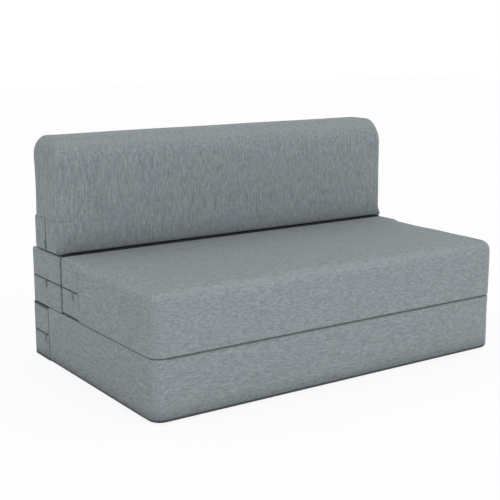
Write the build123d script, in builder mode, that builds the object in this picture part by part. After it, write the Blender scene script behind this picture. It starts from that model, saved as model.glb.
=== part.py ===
from build123d import *
import os
from dataclasses import dataclass

# A fold-out sofa bed made of four zipped foam cushions: a base on the floor, a seat and a rear
# block on top of it, and a backrest standing on the rear block. Sewn cloth hinges join them, so
# that the stack unfolds into one flat bed.
# Millimetres. The origin is on the floor under the middle of the base, +Z is up, +X runs along
# the width and the sofa faces -Y.

# Overall sizes
WIDTH = 1220.0
BASE_DEPTH = 756.0
BASE_HEIGHT = 172.0
SEAT_DEPTH = 540.0
SLAB_THICK = 172.0
BLOCK_SETBACK = 6.0
BACKREST_OVERHANG = 4.0
BACKREST_HEIGHT = 337.0
BACKREST_THICK = 191.0

# Sewn hinges: the gap between two joined faces, and the cloth tabs that lie in it
FOLD_GAP = 2.0
TAB_THICK = 0.8
TAB_DEPTH = 30.0
TAB_MARGIN = 60.0
TAB_EDGE = 4.0

# Covers and the rounding of the cushions
COVER = 2.5
SEAT_CORNER = 44.0
SEAT_CROWN = 40.0
BASE_CORNER = 44.0
BASE_FOOT = 12.0
BACKREST_CORNER = 60.0
BACKREST_ROUND = 38.0
BACKREST_HEEL = 24.0
BACKREST_FOOT = 10.0
FOLD_ROUND = 6.0
BLOCK_CORNER = 8.0
HEM_ROUND = 7.0
END_ROUND = 5.0
LEAST_ROUND = 0.5

# Zipped boxing: how far it comes round the sides, and how far its seams stay from the faces
PLACKET_WRAP = 108.0
BACKREST_WRAP = 97.0
BLOCK_LIP = 14.0
SEAM_MARGIN = 10.0

# Zips
ZIP_WIDTH = 5.0
ZIP_OFFSET = 3.5
CHAIN_RECESS = 0.5
GROOVE_WIDTH = 1.6
GROOVE_DEPTH = 0.8
STOP_LENGTH = 3.0
STOP_PROUD = 0.8
RUN_CLEAR = 0.2
SLIDER_LIFT = 0.3
SLIDER_LENGTH = 12.0
SLIDER_MOUTH = 9.0
SLIDER_TAIL = 6.5
SLIDER_PLATE = 2.0
SLIDER_ROUND = 1.8
SLIDER_EDGE = 0.6
CHEEK_THICK = 1.2
CHEEK_WIDTH = 4.0
CHEEK_ROUND = 1.6
CHEEK_CAP = 0.8
PIN_RADIUS = 0.9
EYE_WALL = 1.2
EYE_WIDTH = 4.2
PULL_LENGTH = 24.0
PULL_WIDTH = 7.0
PULL_THICK = 1.6
PULL_ROUND = 2.0
PULL_EDGE = 0.4

# How far past the start of its zip each slider stands at rest
BASE_SLIDER = 20.0
SEAT_SLIDER = 33.0
BLOCK_SLIDER = 92.0
BACKREST_SLIDER = 67.0

# Non-slip panel under the base
PANEL_THICK = 1.5
PANEL_MARGIN = 24.0

# Levels and faces that follow from the sizes above
BASE_FRONT = -BASE_DEPTH / 2
BASE_REAR = BASE_DEPTH / 2
SLAB_BOTTOM = BASE_HEIGHT + FOLD_GAP
SLAB_TOP = SLAB_BOTTOM + SLAB_THICK
SEAT_REAR = BASE_FRONT + SEAT_DEPTH
BLOCK_FRONT = SEAT_REAR + FOLD_GAP
BLOCK_DEPTH = BASE_REAR - BLOCK_SETBACK - BLOCK_FRONT
BACKREST_WIDTH = WIDTH + 2 * BACKREST_OVERHANG
BACKREST_FRONT = SEAT_REAR + FOLD_GAP
BACKREST_BOTTOM = SLAB_TOP + FOLD_GAP
BACKREST_TOP = BACKREST_BOTTOM + BACKREST_HEIGHT
TAB_WIDTH = WIDTH - 2 * TAB_MARGIN
EYE_RADIUS = PIN_RADIUS + RUN_CLEAR
EYE_REACH = EYE_RADIUS + EYE_WALL
PIN_RISE = EYE_REACH + RUN_CLEAR


@dataclass
class Cushion:
    """One zipped cushion. On its plane, x is across, y runs to the zipped end, z is through it."""

    name: str
    plane: Plane
    width: float
    length: float
    thick: float
    wrap: float
    corner: float
    crown: float
    foot: float
    zip_level: float
    slider_past_seam: float
    zipped_crown: float = HEM_ROUND
    zipped_foot: float = HEM_ROUND
    end_round: float = END_ROUND
    placket_names: tuple = ("upper", "lower")

    @property
    def seam(self):
        """Where the zipped boxing starts along the cushion."""
        return self.length - self.wrap


def eased(radius, inset):
    """The round of a corner once its walls are drawn in by inset."""
    return max(radius - inset, LEAST_ROUND)


def cushion_form(cushion, inset=0.0):
    """A cushion's closed form, drawn in all round by inset: a soft end and a boxier zipped end."""
    up = Axis(cushion.plane.origin, cushion.plane.z_dir)
    along = Axis(cushion.plane.origin, cushion.plane.y_dir)
    bed = cushion.plane.offset(inset)
    across = cushion.width - 2 * inset
    through = cushion.thick - 2 * inset
    with BuildPart() as soft_end:
        with BuildSketch(bed):
            with Locations((0, inset)):
                Rectangle(across, cushion.seam - inset, align=(Align.CENTER, Align.MIN))
        extrude(amount=through)
        corners = soft_end.edges().filter_by(up).group_by(along)[0]
        fillet(corners, eased(cushion.corner, inset))
        crown_edges = soft_end.faces().sort_by(up)[-1].edges().sort_by(along)[:-1]
        fillet(crown_edges, eased(cushion.crown, inset))
        foot_edges = soft_end.faces().sort_by(up)[0].edges().sort_by(along)[:-1]
        fillet(foot_edges, eased(cushion.foot, inset))
    with BuildPart() as zipped_end:
        with BuildSketch(bed):
            with Locations((0, cushion.seam)):
                Rectangle(across, cushion.wrap - inset, align=(Align.CENTER, Align.MIN))
        extrude(amount=through)
        long_edges = zipped_end.edges().filter_by(along).group_by(up)
        fillet(long_edges[-1], eased(cushion.zipped_crown, inset))
        fillet(long_edges[0], eased(cushion.zipped_foot, inset))
        end_edges = zipped_end.faces().sort_by(along)[-1].edges()
        fillet(end_edges, eased(cushion.end_round, inset))
    with BuildPart() as form:
        add(soft_end.part)
        add(zipped_end.part)
    return form.part


def zipped_zone(cushion, low, high, start=0.0):
    """The space round a cushion's zipped end between two heights, from start past its seam."""
    with BuildPart() as zone:
        with BuildSketch(cushion.plane.offset(low)):
            with Locations((0, cushion.seam + start)):
                Rectangle(2 * cushion.width, 2 * cushion.wrap, align=(Align.CENTER, Align.MIN))
        extrude(amount=high - low)
    return zone.part


def save(piece, name):
    """Label a finished piece and write it to its own file."""
    piece.part.label = name
    export_step(piece.part, f"parts/{name}.step")


def make_padding(cushion):
    """The foam core, the cover round it, and the two boxing strips either side of the zip."""
    outside = cushion_form(cushion)
    inside = cushion_form(cushion, COVER)
    bottom_seam = SEAM_MARGIN
    top_seam = cushion.thick - SEAM_MARGIN
    zip_top = cushion.zip_level + ZIP_WIDTH / 2
    zip_bottom = cushion.zip_level - ZIP_WIDTH / 2
    with BuildPart() as foam:
        add(inside)
    save(foam, f"{cushion.name}_foam")
    with BuildPart() as cover:
        add(outside)
        add(inside, mode=Mode.SUBTRACT)
        add(zipped_zone(cushion, bottom_seam, top_seam), mode=Mode.SUBTRACT)
    save(cover, f"{cushion.name}_cover")
    heights = ((zip_top, top_seam), (bottom_seam, zip_bottom))
    for placket_name, (low, high) in zip(cushion.placket_names, heights):
        with BuildPart() as placket:
            add(outside)
            add(inside, mode=Mode.SUBTRACT)
            add(zipped_zone(cushion, low, high), mode=Mode.INTERSECT)
        save(placket, f"{cushion.name}_placket_{placket_name}")


def make_zip(cushion):
    """The zip chain, grooved for its slider, and the two stops that close its ends."""
    zip_top = cushion.zip_level + ZIP_WIDTH / 2
    zip_bottom = cushion.zip_level - ZIP_WIDTH / 2
    groove_top = cushion.zip_level + GROOVE_WIDTH / 2
    groove_bottom = cushion.zip_level - GROOVE_WIDTH / 2
    chain_face = cushion_form(cushion, CHAIN_RECESS)
    with BuildPart() as groove:
        add(chain_face)
        add(cushion_form(cushion, CHAIN_RECESS + GROOVE_DEPTH), mode=Mode.SUBTRACT)
        add(zipped_zone(cushion, groove_bottom, groove_top, STOP_LENGTH), mode=Mode.INTERSECT)
    with BuildPart() as chain:
        add(chain_face)
        add(cushion_form(cushion, COVER), mode=Mode.SUBTRACT)
        add(zipped_zone(cushion, zip_bottom, zip_top, STOP_LENGTH), mode=Mode.INTERSECT)
        add(groove.part, mode=Mode.SUBTRACT)
    save(chain, f"{cushion.name}_zip_chain")
    stop_reach = cushion.width / 2 + STOP_PROUD
    with BuildPart() as stops:
        with BuildSketch(cushion.plane.offset(zip_bottom)):
            with Locations((-stop_reach, cushion.seam)):
                Rectangle(COVER + STOP_PROUD, STOP_LENGTH, align=(Align.MIN, Align.MIN))
            with Locations((stop_reach, cushion.seam)):
                Rectangle(COVER + STOP_PROUD, STOP_LENGTH, align=(Align.MAX, Align.MIN))
        extrude(amount=ZIP_WIDTH)
    save(stops, f"{cushion.name}_zip_stops")


def slider_plane(cushion):
    """The plane of a slider on the cushion's -X side: x is along +Y, y is down, z is outwards."""
    slider_at = cushion.seam + cushion.slider_past_seam
    spot = Vector(-cushion.width / 2, slider_at, cushion.zip_level)
    return Plane(cushion.plane.from_local_coords(spot), x_dir=(0, 1, 0), z_dir=(-1, 0, 0))


def make_slider(cushion, plane):
    """The slider: a plate with a keel in the chain's groove and two cheeks that hold a pin."""
    upright = abs(cushion.plane.y_dir.Z) > abs(cushion.plane.y_dir.Y)
    outward = Axis(plane.origin, plane.z_dir)
    sideways = Axis(plane.origin, plane.x_dir)
    keel_width = GROOVE_WIDTH - 2 * RUN_CLEAR
    keel_bottom = RUN_CLEAR - CHAIN_RECESS - GROOVE_DEPTH
    cheek_inside = EYE_WIDTH / 2 + RUN_CLEAR
    cheek_centre = cheek_inside + CHEEK_THICK / 2

    def on_zip(along, across):
        """A point of the slider's plane, from its places along and across the zip."""
        return (across, along) if upright else (along, across)

    with BuildPart() as slider:
        with BuildSketch(plane.offset(SLIDER_LIFT)) as plate:
            with BuildLine():
                Polyline(
                    on_zip(-SLIDER_LENGTH / 2, SLIDER_TAIL / 2),
                    on_zip(SLIDER_LENGTH / 2, SLIDER_MOUTH / 2),
                    on_zip(SLIDER_LENGTH / 2, -SLIDER_MOUTH / 2),
                    on_zip(-SLIDER_LENGTH / 2, -SLIDER_TAIL / 2),
                    close=True,
                )
            make_face()
            fillet(plate.vertices(), SLIDER_ROUND)
        extrude(amount=SLIDER_PLATE)
        fillet(slider.faces().sort_by(outward)[-1].edges(), SLIDER_EDGE)
        with BuildSketch(plane.offset(keel_bottom)):
            Rectangle(*on_zip(SLIDER_LENGTH, keel_width))
        extrude(amount=SLIDER_LIFT - keel_bottom)
        with BuildSketch(plane.offset(SLIDER_LIFT + SLIDER_PLATE)):
            with Locations((-cheek_centre, 0), (cheek_centre, 0)):
                Rectangle(CHEEK_THICK, CHEEK_WIDTH)
        extrude(amount=PIN_RISE + PIN_RADIUS + CHEEK_CAP)
        fillet(slider.edges().filter_by(sideways).group_by(outward)[-1], CHEEK_ROUND)
        with BuildSketch(pin_plane(plane)):
            Circle(PIN_RADIUS)
        extrude(amount=cheek_inside + CHEEK_THICK, both=True)
    save(slider, f"{cushion.name}_zip_slider")


def pin_plane(plane):
    """The plane across the pin of a slider, at the pin's middle: its normal is the pin's axis."""
    pin_height = SLIDER_LIFT + SLIDER_PLATE + PIN_RISE
    pin_middle = plane.from_local_coords(Vector(0, 0, pin_height))
    return Plane(pin_middle, x_dir=plane.y_dir, z_dir=plane.x_dir)


def make_pull(cushion, plane):
    """The pull: an eye on the slider's pin and a flat tab that hangs below it."""
    pin = pin_plane(plane)
    tab_plane = Plane(pin.origin, x_dir=plane.x_dir, z_dir=plane.z_dir).offset(-PULL_THICK / 2)
    neck = EYE_RADIUS + EYE_WALL / 2
    with BuildPart() as pull:
        with BuildSketch(tab_plane):
            with BuildLine():
                Polyline(
                    (-EYE_WIDTH / 2, neck),
                    (EYE_WIDTH / 2, neck),
                    (PULL_WIDTH / 2, PULL_LENGTH),
                    (-PULL_WIDTH / 2, PULL_LENGTH),
                    close=True,
                )
            make_face()
        extrude(amount=PULL_THICK)
        ends = pull.edges().filter_by(Axis(plane.origin, plane.z_dir))
        fillet(ends.group_by(Axis(plane.origin, plane.y_dir))[-1], PULL_ROUND)
        for face in pull.faces().filter_by(Plane(plane.origin, z_dir=plane.z_dir)):
            fillet(face.edges(), PULL_EDGE)
        with BuildSketch(pin):
            Circle(EYE_REACH)
        extrude(amount=EYE_WIDTH / 2, both=True)
        with BuildSketch(pin):
            Circle(EYE_RADIUS)
        extrude(amount=EYE_WIDTH / 2, both=True, mode=Mode.SUBTRACT)
    save(pull, f"{cushion.name}_zip_pull")


def make_tab(name, plane):
    """One cloth hinge tab, sewn to a cushion's face: plane lies on that face, at the tab's middle."""
    with BuildPart() as tab:
        with BuildSketch(plane):
            Rectangle(TAB_WIDTH, TAB_DEPTH)
        extrude(amount=TAB_THICK)
    save(tab, name)


os.makedirs("parts", exist_ok=True)

# The four cushions, each with its zipped end at the rear, or at the bottom for the backrest
base = Cushion(
    name="base",
    plane=Plane((0, BASE_FRONT, PANEL_THICK)),
    width=WIDTH,
    length=BASE_DEPTH,
    thick=BASE_HEIGHT - PANEL_THICK,
    wrap=PLACKET_WRAP,
    corner=BASE_CORNER,
    crown=FOLD_ROUND,
    foot=BASE_FOOT,
    zip_level=(BASE_HEIGHT - PANEL_THICK) / 2 - ZIP_OFFSET,
    slider_past_seam=BASE_SLIDER,
)
seat = Cushion(
    name="seat",
    plane=Plane((0, BASE_FRONT, SLAB_BOTTOM)),
    width=WIDTH,
    length=SEAT_DEPTH,
    thick=SLAB_THICK,
    wrap=PLACKET_WRAP,
    corner=SEAT_CORNER,
    crown=SEAT_CROWN,
    foot=FOLD_ROUND,
    zip_level=SLAB_THICK / 2 - ZIP_OFFSET,
    slider_past_seam=SEAT_SLIDER,
)
rear_block = Cushion(
    name="rear_block",
    plane=Plane((0, BLOCK_FRONT, SLAB_BOTTOM)),
    width=WIDTH,
    length=BLOCK_DEPTH,
    thick=SLAB_THICK,
    wrap=BLOCK_DEPTH - BLOCK_LIP,
    corner=BLOCK_CORNER,
    crown=HEM_ROUND,
    foot=HEM_ROUND,
    zip_level=SLAB_THICK / 2 - ZIP_OFFSET,
    slider_past_seam=BLOCK_SLIDER,
)
backrest = Cushion(
    name="backrest",
    plane=Plane((0, BACKREST_FRONT, BACKREST_TOP), x_dir=(1, 0, 0), z_dir=(0, 1, 0)),
    width=BACKREST_WIDTH,
    length=BACKREST_HEIGHT,
    thick=BACKREST_THICK,
    wrap=BACKREST_WRAP,
    corner=BACKREST_CORNER,
    crown=BACKREST_ROUND,
    foot=BACKREST_ROUND,
    zip_level=BACKREST_THICK / 2 - ZIP_OFFSET,
    slider_past_seam=BACKREST_SLIDER,
    zipped_crown=BACKREST_HEEL,
    zipped_foot=BACKREST_ROUND,
    end_round=BACKREST_FOOT,
    placket_names=("rear", "front"),
)

for cushion in (base, seat, rear_block, backrest):
    make_padding(cushion)
    make_zip(cushion)
    make_slider(cushion, slider_plane(cushion))
    make_pull(cushion, slider_plane(cushion))

# The three sewn hinges: two tabs each, one on either cushion, back from the rounded edges
tab_middle = max(FOLD_ROUND, END_ROUND, BACKREST_FOOT) + TAB_EDGE + TAB_DEPTH / 2
front_tab_y = BASE_FRONT + tab_middle
rear_tab_y = BASE_REAR - BLOCK_SETBACK - tab_middle
make_tab("front_hinge_base_tab", Plane((0, front_tab_y, BASE_HEIGHT)))
make_tab("front_hinge_seat_tab", Plane((0, front_tab_y, SLAB_BOTTOM - TAB_THICK)))
make_tab("rear_hinge_base_tab", Plane((0, rear_tab_y, BASE_HEIGHT)))
make_tab("rear_hinge_block_tab", Plane((0, rear_tab_y, SLAB_BOTTOM - TAB_THICK)))
seat_back_face = Plane((0, SEAT_REAR, SLAB_TOP - tab_middle), x_dir=(-1, 0, 0), z_dir=(0, 1, 0))
make_tab("back_hinge_seat_tab", seat_back_face)
backrest_tab_y = BACKREST_FRONT + tab_middle
make_tab("back_hinge_backrest_tab", Plane((0, backrest_tab_y, BACKREST_BOTTOM - TAB_THICK)))

# The non-slip panel that the base stands on
with BuildPart() as base_underside:
    with BuildSketch():
        Rectangle(WIDTH - 2 * PANEL_MARGIN, BASE_DEPTH - 2 * PANEL_MARGIN)
    extrude(amount=PANEL_THICK)
save(base_underside, "base_underside")
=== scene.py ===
# %% [markdown]
# # A fold-out sofa bed
# Four foam cushions, each in its own zipped cloth cover: a base on the floor, a seat and a rear block
# on top of it, and a backrest that stands on the block. Strips of cloth hinge them together, so that
# the stack opens into one flat bed.
#
# The imported model is loaded first and stays as it is. Every piece below is built round it, in metres.

# %% Load the frame
import math

import bpy
import numpy as np
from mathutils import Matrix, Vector


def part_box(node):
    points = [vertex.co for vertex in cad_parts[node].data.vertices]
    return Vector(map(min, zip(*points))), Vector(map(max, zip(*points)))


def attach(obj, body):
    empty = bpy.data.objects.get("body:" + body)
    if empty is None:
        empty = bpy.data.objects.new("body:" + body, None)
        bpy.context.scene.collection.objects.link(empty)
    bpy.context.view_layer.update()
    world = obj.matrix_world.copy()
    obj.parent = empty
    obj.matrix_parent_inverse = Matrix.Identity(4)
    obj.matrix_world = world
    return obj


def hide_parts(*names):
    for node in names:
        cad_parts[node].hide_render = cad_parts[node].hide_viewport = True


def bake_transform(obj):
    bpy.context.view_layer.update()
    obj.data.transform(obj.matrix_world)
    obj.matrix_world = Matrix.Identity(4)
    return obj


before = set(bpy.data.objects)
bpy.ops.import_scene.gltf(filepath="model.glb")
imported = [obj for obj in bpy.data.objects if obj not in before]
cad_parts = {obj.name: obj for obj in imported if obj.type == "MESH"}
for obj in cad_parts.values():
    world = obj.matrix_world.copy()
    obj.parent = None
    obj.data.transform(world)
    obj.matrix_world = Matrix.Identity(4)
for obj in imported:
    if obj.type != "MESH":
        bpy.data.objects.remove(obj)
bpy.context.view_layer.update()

MM = 0.001
scene = bpy.context.scene

# %% [markdown]
# ## The camera
# The sofa is seen from its left front, from a little above. The place and the lens were worked out
# from the straight edges of the cushions, so the camera needs no shift and no tilt sideways.

# %% Camera
CAMERA_PLACE = Vector((-1.8225, -2.5752, 0.9839))
CAMERA_TURN = math.radians(34.41)
CAMERA_DIP = math.radians(11.853)
CAMERA_LENS = 75.14
SENSOR_WIDTH = 36

camera = bpy.data.objects.new("camera", bpy.data.cameras.new("camera"))
scene.collection.objects.link(camera)
camera.location = CAMERA_PLACE
camera.rotation_euler = (math.pi / 2 - CAMERA_DIP, 0, -CAMERA_TURN)
camera.data.lens = CAMERA_LENS
camera.data.sensor_width = SENSOR_WIDTH
scene.camera = camera
print("camera:", tuple(round(v, 3) for v in camera.location), "lens", camera.data.lens)

# %% [markdown]
# ## The room
# A pale floor under a plain soft light. The light comes from all round and is thrown back by the
# floor, so that the foot of the backrest, which sees only the seat, is darker than its top. One broad
# lamp stands low in front and makes the upright faces a little lighter than the seat.
#
# Only what looks straight at the world or the floor sees white: the light on the sofa is separate.
# The white of the floor is mostly a glow, with enough chalk white in it to keep the sofa's shadow.

# %% Helpers for node trees
def feed(tree, node, inputs):
    """Give each of some inputs of a node a value, or a link from another node's socket."""
    for name, source in inputs.items():
        if isinstance(source, bpy.types.NodeSocket):
            tree.links.new(source, node.inputs[name])
        else:
            node.inputs[name].default_value = source


def add_node(tree, kind, inputs=None, **settings):
    """A new node of a tree, with its settings and what its inputs are fed."""
    node = tree.nodes.new(kind)
    for name, value in settings.items():
        setattr(node, name, value)
    feed(tree, node, inputs or {})
    return node


def calculate(tree, operation, *sources):
    """A socket with the result of an operation on values or sockets."""
    return add_node(tree, "ShaderNodeMath", dict(enumerate(sources)), operation=operation).outputs[0]


# %% Light and background
AROUND_LIGHT = 0.875
WHITE = (1, 1, 1, 1)


def show_apart(tree, lighting, seen, output):
    """Light the scene with one shader and show another to straight, mirrored and glass rays."""
    path = add_node(tree, "ShaderNodeLightPath")
    looking = path.outputs["Is Camera Ray"]
    for ray in ("Is Glossy Ray", "Is Transmission Ray"):
        looking = calculate(tree, "MAXIMUM", looking, path.outputs[ray])
    inputs = {"Fac": looking, 1: lighting.outputs[0], 2: seen.outputs[0]}
    choose = add_node(tree, "ShaderNodeMixShader", inputs)
    add_node(tree, output, {"Surface": choose.outputs[0]})


world = bpy.data.worlds.new("room")
scene.world = world
world.use_nodes = True
tree = world.node_tree
tree.nodes.clear()
around = add_node(tree, "ShaderNodeBackground", {"Color": WHITE, "Strength": AROUND_LIGHT})
backdrop = add_node(tree, "ShaderNodeBackground", {"Color": WHITE, "Strength": 1})
show_apart(tree, around, backdrop, "ShaderNodeOutputWorld")
scene.view_settings.view_transform = "Standard"
print("world light:", AROUND_LIGHT)

# %% Lamp
LAMP_PLACE = Vector((-0.3, -4.75, 1))
LAMP_AIM = Vector((0, 0, 0.3))
LAMP_SIZE = 2.4
LAMP_POWER = 42

light = bpy.data.lights.new("front_lamp", "AREA")
light.shape = "DISK"
light.size = LAMP_SIZE
light.energy = LAMP_POWER
lamp = bpy.data.objects.new("front_lamp", light)
scene.collection.objects.link(lamp)
lamp.location = LAMP_PLACE
lamp.rotation_euler = (LAMP_AIM - LAMP_PLACE).to_track_quat("-Z", "Y").to_euler()
print("lamp:", LAMP_SIZE, "m across,", LAMP_POWER, "W")

# %% Floor
FLOOR_SIZE = 30.0
FLOOR_GREY = (0.85, 0.85, 0.85, 1)
FLOOR_WHITE_SHARE = 0.88

half = FLOOR_SIZE / 2
floor_corners = [(-half, -half, 0), (half, -half, 0), (half, half, 0), (-half, half, 0)]
floor_mesh = bpy.data.meshes.new("floor")
floor_mesh.from_pydata(floor_corners, [], [(0, 1, 2, 3)])
floor = bpy.data.objects.new("floor", floor_mesh)
scene.collection.objects.link(floor)
floor_paint = bpy.data.materials.new("floor_paint")
floor_paint.use_nodes = True
tree = floor_paint.node_tree
tree.nodes.clear()
matt = add_node(tree, "ShaderNodeBsdfDiffuse", {"Color": FLOOR_GREY})
chalk = add_node(tree, "ShaderNodeBsdfDiffuse", {"Color": WHITE})
glow = add_node(tree, "ShaderNodeEmission", {"Color": WHITE, "Strength": 1})
inputs = {"Fac": FLOOR_WHITE_SHARE, 1: chalk.outputs[0], 2: glow.outputs[0]}
pale = add_node(tree, "ShaderNodeMixShader", inputs)
show_apart(tree, matt, pale, "ShaderNodeOutputMaterial")
floor_mesh.materials.append(floor_paint)
print("floor:", FLOOR_SIZE, "m square")

# %% [markdown]
# ## The cloth
# The covers are a blue-grey linen-like weave. Thick and thin yarns leave short streaks that run one
# way, a thinner set crosses them, and the yarn itself is heathered from light to dark.
# A picture of cloth would do it, but here it is woven from noise: a group of nodes takes a place on
# the cloth in metres, with the streaks along x, and gives a shade and a height. Each cover uses the
# group three times, once for each way that its faces look, and mixes them by how its surface turns.

# %% Weave layers
NOISE_ROUGHNESS = 0.6


def new_group(name, inputs, outputs):
    """An empty shader node group with named sockets: the group, what it is given and its last node."""
    group = bpy.data.node_groups.new(name, "ShaderNodeTree")
    for direction, sockets in (("INPUT", inputs), ("OUTPUT", outputs)):
        for socket, kind in sockets.items():
            group.interface.new_socket(socket, in_out=direction, socket_type=f"NodeSocket{kind}")
    return group, add_node(group, "NodeGroupInput").outputs, add_node(group, "NodeGroupOutput")


def streaks(group, place, length, width, detail=1):
    """Noise drawn out along x: streaks of about that length and width, in metres."""
    inputs = {0: place, 1: (1 / length, 1 / width, 1 / width)}
    scaled = add_node(group, "ShaderNodeVectorMath", inputs, operation="MULTIPLY")
    inputs = {"Vector": scaled.outputs[0], "Scale": 1, "Detail": detail, "Roughness": NOISE_ROUGHNESS}
    return add_node(group, "ShaderNodeTexNoise", inputs).outputs["Fac"]


def yarn_wave(group, place, axis, pitch):
    """The rise and fall of yarns laid side by side across one axis."""
    split = add_node(group, "ShaderNodeSeparateXYZ", {0: place})
    turn = calculate(group, "MULTIPLY", split.outputs[axis], 2 * math.pi / pitch)
    return calculate(group, "SINE", turn)


def weighted_sum(group, layers, weights):
    """A socket with the sum of some of the layers, each times its weight."""
    total = 0
    for name, weight in weights.items():
        total = calculate(group, "MULTIPLY_ADD", layers[name], weight, total)
    return total


# %% Weave group
YARN_PITCH = 1.6 * MM
SLUB_LENGTH = 17 * MM
SLUB_WIDTH = 4 * MM
SLUB_DETAIL = 2
LONG_SLUB_LENGTH = 3 * SLUB_LENGTH
LONG_SLUB_WIDTH = 2 * SLUB_WIDTH
CROSS_LENGTH = 4 * MM
CROSS_WIDTH = 12 * MM
HEATHER_SIZE = 4.5 * MM
SHADE_WEIGHTS = {"slub": 0.55, "long_slub": 0.08, "cross": 0.16, "heather": 0.21}
HEIGHT_WEIGHTS = {"yarns": 0.25, "slub": 0.9, "cross": 0.4}

weave, given, weave_out = new_group(
    "linen_weave", {"Place": "Vector"}, {"Shade": "Float", "Height": "Float"}
)
place = given["Place"]
warp = yarn_wave(weave, place, "X", YARN_PITCH)
weft = yarn_wave(weave, place, "Y", YARN_PITCH)
layers = {
    "slub": streaks(weave, place, SLUB_LENGTH, SLUB_WIDTH, SLUB_DETAIL),
    "long_slub": streaks(weave, place, LONG_SLUB_LENGTH, LONG_SLUB_WIDTH),
    "cross": streaks(weave, place, CROSS_LENGTH, CROSS_WIDTH),
    "heather": streaks(weave, place, HEATHER_SIZE, HEATHER_SIZE),
    "yarns": calculate(weave, "MULTIPLY", warp, weft),
}
shade = weighted_sum(weave, layers, SHADE_WEIGHTS)
height = weighted_sum(weave, layers, HEIGHT_WEIGHTS)
feed(weave, weave_out, {"Shade": shade, "Height": height})
print("linen_weave:", len(weave.nodes), "nodes")

# %% [markdown]
# ### Painted highlight and painted shade
# Rounded edges that look up are painted lighter on their raised yarns: a painted highlight. In its seams,
# near the floor and in its gaps the cloth is painted darker: painted shade. Both could be painted on a
# picture, but a picture needs the cover laid out flat. Here every mesh carries the two as values on its
# points, and a second group mixes the colours.

# %% Painted light group
# Painted shade: the seams, the feet of the base and backrest, the angle behind the seat and the base's
# rear corners are mixed towards this dark colour.
PAINTED_SHADE_COLOUR = (0.02, 0.023, 0.025, 1)
# Painted highlight: rounded edges that look up are mixed towards this lighter colour.
HIGHLIGHT_COLOUR = (0.55, 0.58, 0.59, 1)
# The sockets of a Mix node that mix colours, by their numbers
MIX_SHARE, MIX_DARK, MIX_LIGHT, MIXED = 0, 6, 7, 2


def colour_between(tree, share, dark, light):
    """A colour that goes from dark to light with a share; each is a colour or a socket."""
    inputs = {MIX_SHARE: share, MIX_DARK: dark, MIX_LIGHT: light}
    return add_node(tree, "ShaderNodeMix", inputs, data_type="RGBA").outputs[MIXED]


worn_cloth, given, painted_light_out = new_group(
    "worn_cloth",
    {"Colour": "Color", "Shade": "Float", "Edge Wear": "Float", "Seam Shade": "Float"},
    {"Colour": "Color"},
)
highlight_share = calculate(worn_cloth, "MULTIPLY", given["Edge Wear"], given["Shade"])
colour = colour_between(worn_cloth, highlight_share, given["Colour"], HIGHLIGHT_COLOUR)
colour = colour_between(worn_cloth, given["Seam Shade"], colour, PAINTED_SHADE_COLOUR)
feed(worn_cloth, painted_light_out, {"Colour": colour})
print("worn_cloth:", len(worn_cloth.nodes), "nodes")

# %% [markdown]
# ### One material for each way of cutting the cloth
# On the seat, the base and the block the streaks run across the sofa. On the backrest the cloth is
# turned, so they run up and down. The material reads a place and a facing that each mesh carries,
# so the streaks stay on the cushion when it moves.

# %% Helpers for materials
FACINGS = ("X", "Y", "Z")


def new_material(name):
    """A new node material, its tree and its shader."""
    material = bpy.data.materials.new(name)
    material.use_nodes = True
    return material, material.node_tree, material.node_tree.nodes["Principled BSDF"]


def carried(tree, name, output="Fac"):
    """A socket with what the mesh carries under a name."""
    return add_node(tree, "ShaderNodeAttribute", attribute_name=name).outputs[output]


def raised(tree, height, strength, depth):
    """A normal that makes a surface look raised by a height."""
    inputs = {"Height": height, "Strength": strength, "Distance": depth}
    return add_node(tree, "ShaderNodeBump", inputs).outputs[0]


def rescaled(tree, share, start, end):
    """A value that goes from start to end with a share."""
    inputs = {"Value": share, "To Min": start, "To Max": end}
    return add_node(tree, "ShaderNodeMapRange", inputs).outputs[0]


def turned_place(tree, place, order, stretch):
    """The place with its axes in another order: the streaks run along the first, drawn out by stretch."""
    split = add_node(tree, "ShaderNodeSeparateXYZ", {0: place})
    inputs = {axis: split.outputs[source] for axis, source in zip(FACINGS, order)}
    inputs = {0: add_node(tree, "ShaderNodeCombineXYZ", inputs).outputs[0], 1: (1 / stretch, 1, 1)}
    return add_node(tree, "ShaderNodeVectorMath", inputs, operation="MULTIPLY").outputs[0]


def woven(tree, orders, stretch):
    """The shade and the height of the weave, mixed from the three ways that faces look."""
    place = carried(tree, "cloth_place", "Vector")
    facing = add_node(tree, "ShaderNodeSeparateXYZ", {0: carried(tree, "cloth_facing", "Vector")})
    shade, height = 0, 0
    for axis in FACINGS:
        share = facing.outputs[axis]
        inputs = {"Place": turned_place(tree, place, orders[axis], stretch)}
        patch = add_node(tree, "ShaderNodeGroup", inputs, node_tree=weave)
        shade = calculate(tree, "MULTIPLY_ADD", patch.outputs["Shade"], share, shade)
        height = calculate(tree, "MULTIPLY_ADD", patch.outputs["Height"], share, height)
    return shade, height


# %% Cloth materials
CLOTH_DARK = (0.157, 0.184, 0.196, 1)
CLOTH_LIGHT = (0.335, 0.377, 0.396, 1)
CLOTH_CONTRAST = 0.19
CLOTH_ROUGHNESS = (0.95, 0.8)
CLOTH_SHINE = 0.15
CLOTH_SHEEN = 0.1
SHEEN_ROUGHNESS = 0.6
WEAVE_STRENGTH = 0.35
WEAVE_DEPTH = 0.5 * MM
# The backrest's copy of the cloth is a little darker than the slab cloth, as painted shade.
BACKREST_DARK = (0.147, 0.172, 0.184, 1)
BACKREST_LIGHT = (0.322, 0.361, 0.379, 1)
BACKREST_CONTRAST = 0.17
BACKREST_STRETCH = 1.7
ACROSS = {"X": "YZX", "Y": "XZY", "Z": "XYZ"}
UPRIGHT = {"X": "ZYX", "Y": "ZXY", "Z": "YXZ"}


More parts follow.
